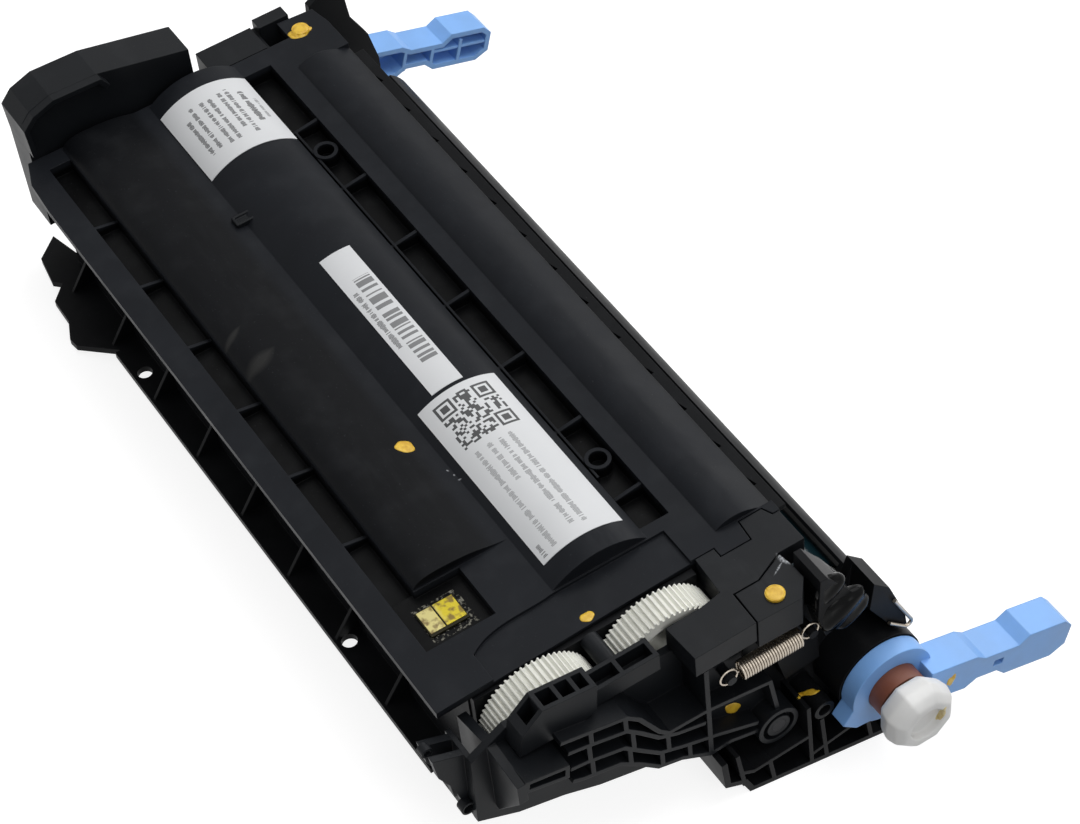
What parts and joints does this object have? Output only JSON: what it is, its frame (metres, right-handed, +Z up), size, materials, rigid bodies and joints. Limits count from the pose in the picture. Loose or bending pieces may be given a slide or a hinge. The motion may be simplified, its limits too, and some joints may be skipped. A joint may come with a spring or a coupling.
{
  "type": "toner cartridge",
  "caption": "Laser printer toner cartridge: a ribbed black hopper with white end gears, hinged to a drum unit with two blue levers and a white drive hub.",
  "frame": {"origin": "on the table, under the middle of the whole cartridge", "axes": "+X along the cartridge to the geared end with the drive hub, +Y across it to the drum and the lever tips, +Z up"},
  "size_m": [0.3644, 0.214, 0.0836],
  "materials": {
    "black_plastic": "satin moulded black plastic",
    "gear_plastic": "natural white acetal",
    "blue_plastic": "light blue moulded plastic",
    "white_plastic": "white moulded plastic",
    "brown_plastic": "brown bearing plastic",
    "steel": "turned steel",
    "spring_steel": "plain spring wire",
    "sheet_steel": "pressed sheet steel",
    "drum_coating": "smooth coating on an aluminium tube",
    "developer_rubber": "black developing rubber",
    "charge_rubber": "black conductive rubber",
    "foam": "grey foam",
    "film": "clear polyester film",
    "blade_rubber": "amber urethane",
    "label_stock": "white label stock",
    "chip_board": "circuit board with plated contacts",
    "marked_screw": "screw head marked with yellow paint"
  },
  "bodies": {
    "toner_unit": {"hopper_lid": "black_plastic", "hopper_tub": "black_plastic", "near_bearing_plate": "black_plastic", "far_bearing_plate": "black_plastic", "doctor_blade": "sheet_steel", "doctor_blade_holder": "sheet_steel", "gear_cover": "black_plastic", "near_corner_block": "black_plastic", "screw_block": "black_plastic", "plate_screws": "marked_screw", "far_end_cover": "black_plastic", "far_corner_block": "black_plastic", "memory_chip": "chip_board", "far_label": "label_stock", "bar_label": "label_stock", "code_label": "label_stock", "tension_spring": "spring_steel"},
    "drum_unit": {"drum_frame": "black_plastic", "near_drum_plate": "black_plastic", "far_drum_plate": "black_plastic", "cleaning_blade": "blade_rubber", "blade_bracket": "sheet_steel", "bin_seal": "film", "brown_bush": "brown_plastic", "near_lever_spring": "spring_steel", "near_pivot_pin": "steel", "far_pivot_pin": "steel"},
    "drum": {"drum_tube": "drum_coating", "near_drum_flange": "gear_plastic", "drive_coupling": "white_plastic", "far_drum_flange": "white_plastic"},
    "charge_roller": {"charge_shaft": "steel", "charge_rubber": "charge_rubber"},
    "developer_roller": {"developer_shaft": "steel", "developer_sleeve": "developer_rubber", "developer_gear": "gear_plastic"},
    "supply_roller": {"supply_roller_shaft": "steel", "supply_roller_foam": "foam", "supply_gear": "gear_plastic"},
    "side_idler": {"side_idler_gear": "gear_plastic"},
    "middle_idler": {"middle_idler_gear": "gear_plastic"},
    "agitator_1": {"agitator_shaft_1": "steel", "agitator_film_1": "film", "agitator_gear_1": "gear_plastic"},
    "agitator_2": {"agitator_shaft_2": "steel", "agitator_film_2": "film", "agitator_gear_2": "gear_plastic"},
    "near_lever": {"near_lever": "blue_plastic"},
    "far_lever": {"far_lever": "blue_plastic"},
    "drum_shutter": {"drum_shutter": "black_plastic"}
  },
  "joints": [
    {"name": "unit_hinge", "type": "hinge", "parent": "toner_unit", "child": "drum_unit", "pos_m": [-0.00835, 0.00699, 0.02258], "axis": [-1, 0, 0], "range_deg": [0, 2.5], "stiffness_Nm_per_rad": 0.6, "springref_deg": -40.11, "deforming": ["tension_spring"]},
    {"name": "drum_spin", "type": "hinge", "parent": "drum_unit", "child": "drum", "pos_m": [-0.00835, 0.04077, 0.03274], "axis": [1, 0, 0], "continuous": true},
    {"name": "charge_spin", "type": "hinge", "parent": "drum_unit", "child": "charge_roller", "pos_m": [-0.00835, 0.0271, 0.02386], "axis": [1, 0, 0], "continuous": true},
    {"name": "developer_spin", "type": "hinge", "parent": "toner_unit", "child": "developer_roller", "pos_m": [-0.00835, 0.02288, 0.04146], "axis": [1, 0, 0], "continuous": true},
    {"name": "supply_spin", "type": "hinge", "parent": "toner_unit", "child": "supply_roller", "pos_m": [-0.00835, 0.00888, 0.04522], "axis": [1, 0, 0], "continuous": true},
    {"name": "side_idler_spin", "type": "hinge", "parent": "toner_unit", "child": "side_idler", "pos_m": [0.13365, -0.00235, 0.05289], "axis": [1, 0, 0], "continuous": true},
    {"name": "middle_idler_spin", "type": "hinge", "parent": "toner_unit", "child": "middle_idler", "pos_m": [0.13365, -0.04307, 0.03491], "axis": [1, 0, 0], "continuous": true},
    {"name": "agitator_1_spin", "type": "hinge", "parent": "toner_unit", "child": "agitator_1", "pos_m": [-0.00835, -0.06638, 0.04475], "axis": [1, 0, 0], "continuous": true},
    {"name": "agitator_2_spin", "type": "hinge", "parent": "toner_unit", "child": "agitator_2", "pos_m": [-0.00835, -0.02643, 0.05397], "axis": [1, 0, 0], "continuous": true},
    {"name": "near_lever_swing", "type": "hinge", "parent": "drum_unit", "child": "near_lever", "pos_m": [0.16145, 0.04077, 0.03274], "axis": [1, 0, 0], "range_deg": [0, 12], "stiffness_Nm_per_rad": 0.02, "springref_deg": -45.84},
    {"name": "far_lever_swing", "type": "hinge", "parent": "drum_unit", "child": "far_lever", "pos_m": [-0.17315, 0.04077, 0.03274], "axis": [1, 0, 0], "range_deg": [0, 12]},
    {"name": "shutter_swing", "type": "hinge", "parent": "drum_unit", "child": "drum_shutter", "pos_m": [-0.00835, 0.04077, 0.03274], "axis": [-1, 0, 0], "range_deg": [0, 70], "stiffness_Nm_per_rad": 0.004, "springref_deg": -68.75}
  ],
  "couplings": [
    {"joint": "charge_spin", "follows": "drum_spin", "ratio": -2.8235},
    {"joint": "developer_spin", "follows": "drum_spin", "ratio": -2.1429},
    {"joint": "supply_spin", "follows": "drum_spin", "ratio": 1.6667},
    {"joint": "side_idler_spin", "follows": "drum_spin", "ratio": -2.5},
    {"joint": "agitator_2_spin", "follows": "drum_spin", "ratio": 0.72581},
    {"joint": "middle_idler_spin", "follows": "drum_spin", "ratio": -2.0455},
    {"joint": "agitator_1_spin", "follows": "drum_spin", "ratio": 0.72581}
  ]
}
